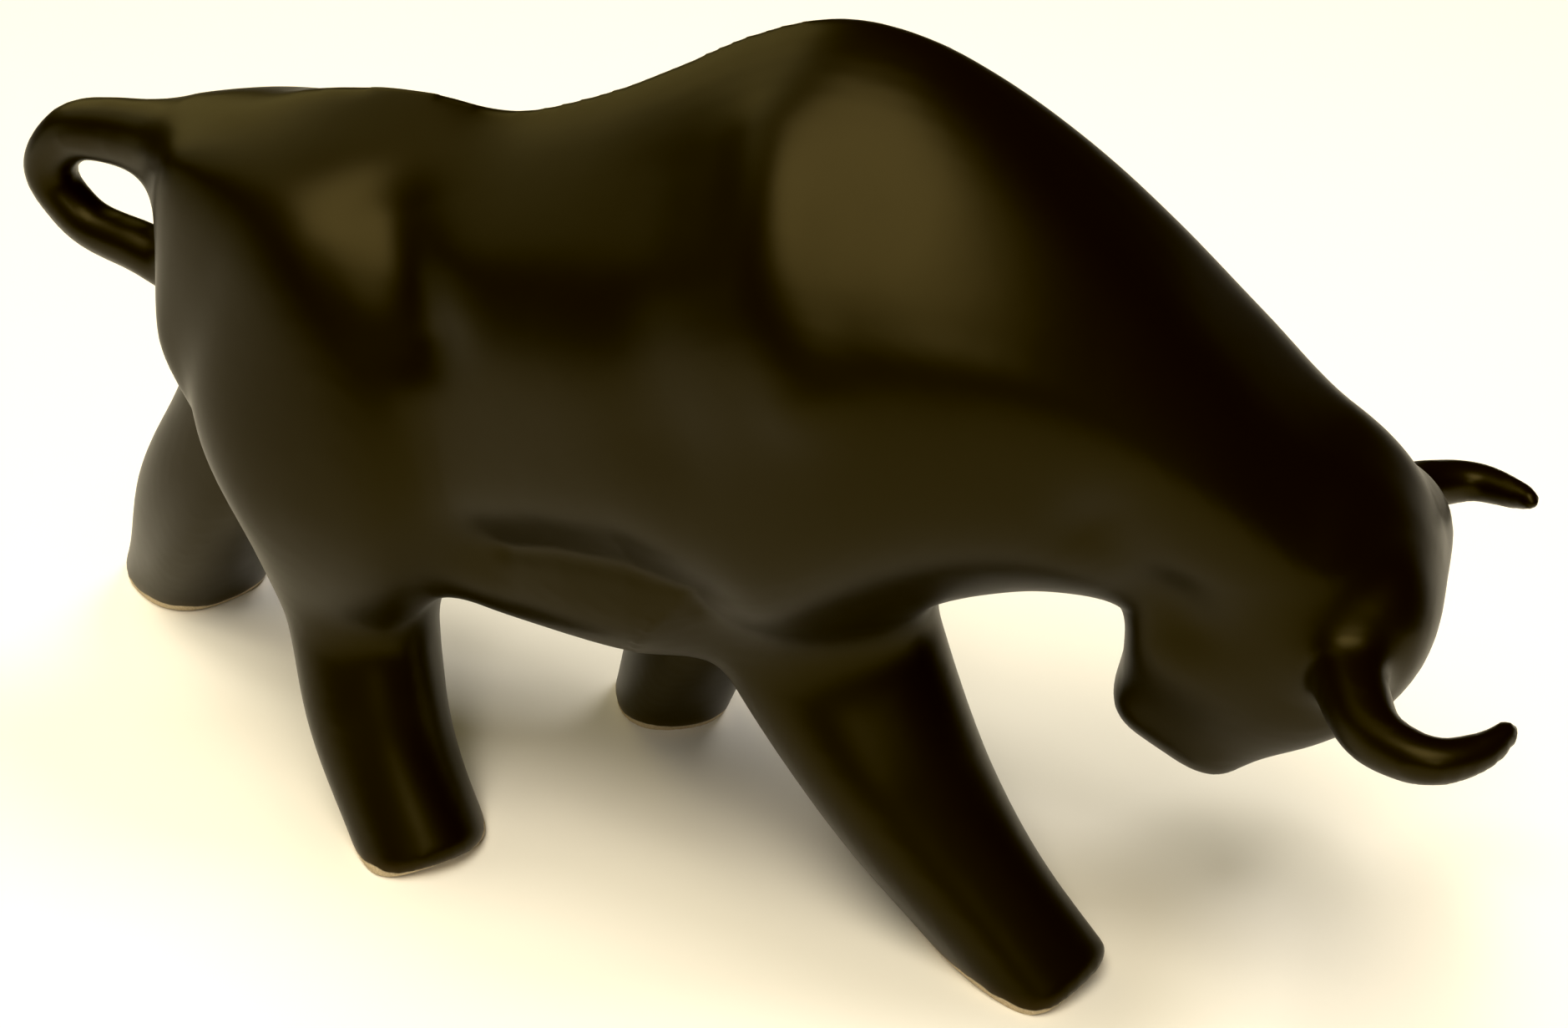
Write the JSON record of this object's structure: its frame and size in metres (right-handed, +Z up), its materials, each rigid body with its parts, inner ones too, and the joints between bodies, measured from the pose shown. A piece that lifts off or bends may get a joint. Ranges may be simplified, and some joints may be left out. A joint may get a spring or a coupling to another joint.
{
  "type": "bull figurine",
  "caption": "Charging bull figure in satin black glazed ceramic, head lowered, horns forward, tail curled back, standing on its own flat feet.",
  "frame": {"origin": "on the table, under the middle of the bull's outline seen from above", "axes": "+X towards the head and horns, along the longest extent; +Y to the bull's own left; +Z up"},
  "size_m": [0.3452, 0.1092, 0.1861],
  "materials": {
    "black_glaze": "satin black glaze, slightly brown, ending just above bare pale clay at the rims of the soles"
  },
  "bodies": {
    "root": {"bull": "black_glaze"}
  },
  "joints": []
}
